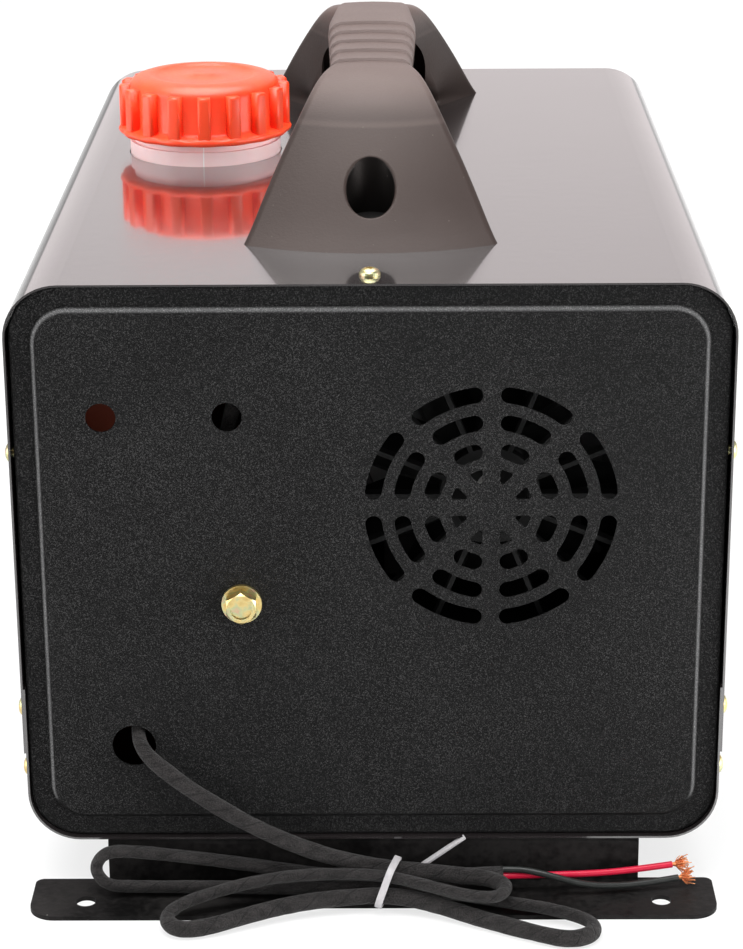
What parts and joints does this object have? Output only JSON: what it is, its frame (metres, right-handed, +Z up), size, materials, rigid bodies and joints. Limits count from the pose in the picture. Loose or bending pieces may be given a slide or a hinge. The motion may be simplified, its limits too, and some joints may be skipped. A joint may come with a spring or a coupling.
{
  "type": "portable diesel air heater",
  "caption": "Portable diesel air heater: sheet-steel case with end grille, carrying handle, screwed fuel cap, base brackets with mounting holes and a tied harness.",
  "frame": {"origin": "floor level, at the centre of the four mounting holes of the base brackets", "axes": "+X to the right seen from the intake end, +Y out of the warm-air outlet end, +Z up"},
  "size_m": [0.244, 0.418, 0.2736],
  "materials": {
    "glossy_case_paint": "gloss",
    "textured_panel_paint": "matte",
    "bracket_paint": "satin",
    "zinc": "satin",
    "yellow_zinc": "satin",
    "handle_plastic": "satin",
    "tank_plastic": "satin",
    "foam": "matte",
    "brass": "satin",
    "cap_plastic": "satin",
    "seal_rubber": "matte",
    "black_plastic": "matte",
    "steel": "satin",
    "cast_aluminium": "matte",
    "platform_paint": "matte",
    "hose_rubber": "satin",
    "filter_plastic": "satin",
    "screen_plastic": "gloss",
    "button_rubber": "matte",
    "harness_tape": "matte",
    "red_insulation": "satin",
    "black_insulation": "satin",
    "tie_nylon": "satin",
    "copper": "satin"
  },
  "bodies": {
    "heater_case": {"upper_cover": "glossy_case_paint", "lower_tray": "textured_panel_paint", "intake_end_panel": "textured_panel_paint", "outlet_end_panel": "textured_panel_paint", "front_base_bracket": "bracket_paint", "rear_base_bracket": "bracket_paint", "bracket_rivets": "zinc", "handle_screws": "zinc", "handle_nuts": "zinc", "case_screws": "yellow_zinc", "pump_bolt": "yellow_zinc", "carrying_handle": "handle_plastic", "fuel_tank": "tank_plastic", "tank_pads": "foam", "tank_fitting": "brass", "glow_plug": "brass", "flange_gasket": "seal_rubber", "pump_clamp": "seal_rubber", "jacket_cover": "black_plastic", "jacket_base": "black_plastic", "intake_guard": "black_plastic", "outlet_hood": "black_plastic", "outlet_duct_ring": "black_plastic", "keypad_housing": "black_plastic", "control_unit": "black_plastic", "fan_motor": "steel", "combustion_air_stub": "steel", "exhaust_stub": "steel", "pump_body": "steel", "pump_spring": "steel", "burner": "steel", "blower_housing": "cast_aluminium", "heat_exchanger": "cast_aluminium", "heater_platform": "platform_paint", "suction_hose": "hose_rubber", "fuel_pipe": "hose_rubber", "fuel_filter": "filter_plastic", "keypad_screen": "screen_plastic", "harness_lead": "harness_tape", "harness_hank": "harness_tape", "inner_harness": "harness_tape", "red_lead": "red_insulation", "black_lead": "black_insulation", "cable_tie": "tie_nylon", "copper_ends": "copper"},
    "fan_rotor": {"heating_fan": "black_plastic", "rotor_shaft": "steel", "combustion_fan": "cast_aluminium"},
    "cap_ring": {"cap_seal": "seal_rubber"},
    "cap_body": {"filler_cap": "cap_plastic"},
    "power_button_body": {"power_button": "button_rubber"},
    "raise_button_body": {"raise_button": "button_rubber"},
    "lower_button_body": {"lower_button": "button_rubber"},
    "settings_button_body": {"settings_button": "button_rubber"},
    "plunger_body": {"pump_plunger": "steel"}
  },
  "joints": [
    {"name": "fan_spin", "type": "hinge", "parent": "heater_case", "child": "fan_rotor", "pos_m": [0.04, -0.1, 0.1412], "axis": [0, 1, 0], "continuous": true},
    {"name": "cap_lift", "type": "slide", "parent": "heater_case", "child": "cap_ring", "axis": [0, 0, 1], "range_m": [0, 0.006]},
    {"name": "cap_turn", "type": "hinge", "parent": "cap_ring", "child": "cap_body", "pos_m": [-0.065, 0.019, 0.23], "axis": [0, 0, 1], "range_deg": [0, 540]},
    {"name": "pump_stroke", "type": "slide", "parent": "heater_case", "child": "plunger_body", "axis": [0, 0, 1], "range_m": [0, 0.003], "stiffness_N_per_m": 400, "deforming": ["pump_spring"]},
    {"name": "power_key_press", "type": "slide", "parent": "heater_case", "child": "power_button_body", "axis": [0, -1, 0], "range_m": [0, 0.001], "stiffness_N_per_m": 600},
    {"name": "raise_key_press", "type": "slide", "parent": "heater_case", "child": "raise_button_body", "axis": [0, -1, 0], "range_m": [0, 0.001], "stiffness_N_per_m": 600},
    {"name": "lower_key_press", "type": "slide", "parent": "heater_case", "child": "lower_button_body", "axis": [0, -1, 0], "range_m": [0, 0.001], "stiffness_N_per_m": 600},
    {"name": "settings_key_press", "type": "slide", "parent": "heater_case", "child": "settings_button_body", "axis": [0, -1, 0], "range_m": [0, 0.001], "stiffness_N_per_m": 600}
  ],
  "couplings": [
    {"joint": "cap_turn", "follows": "cap_lift", "rad_per_m": 1570.8}
  ]
}
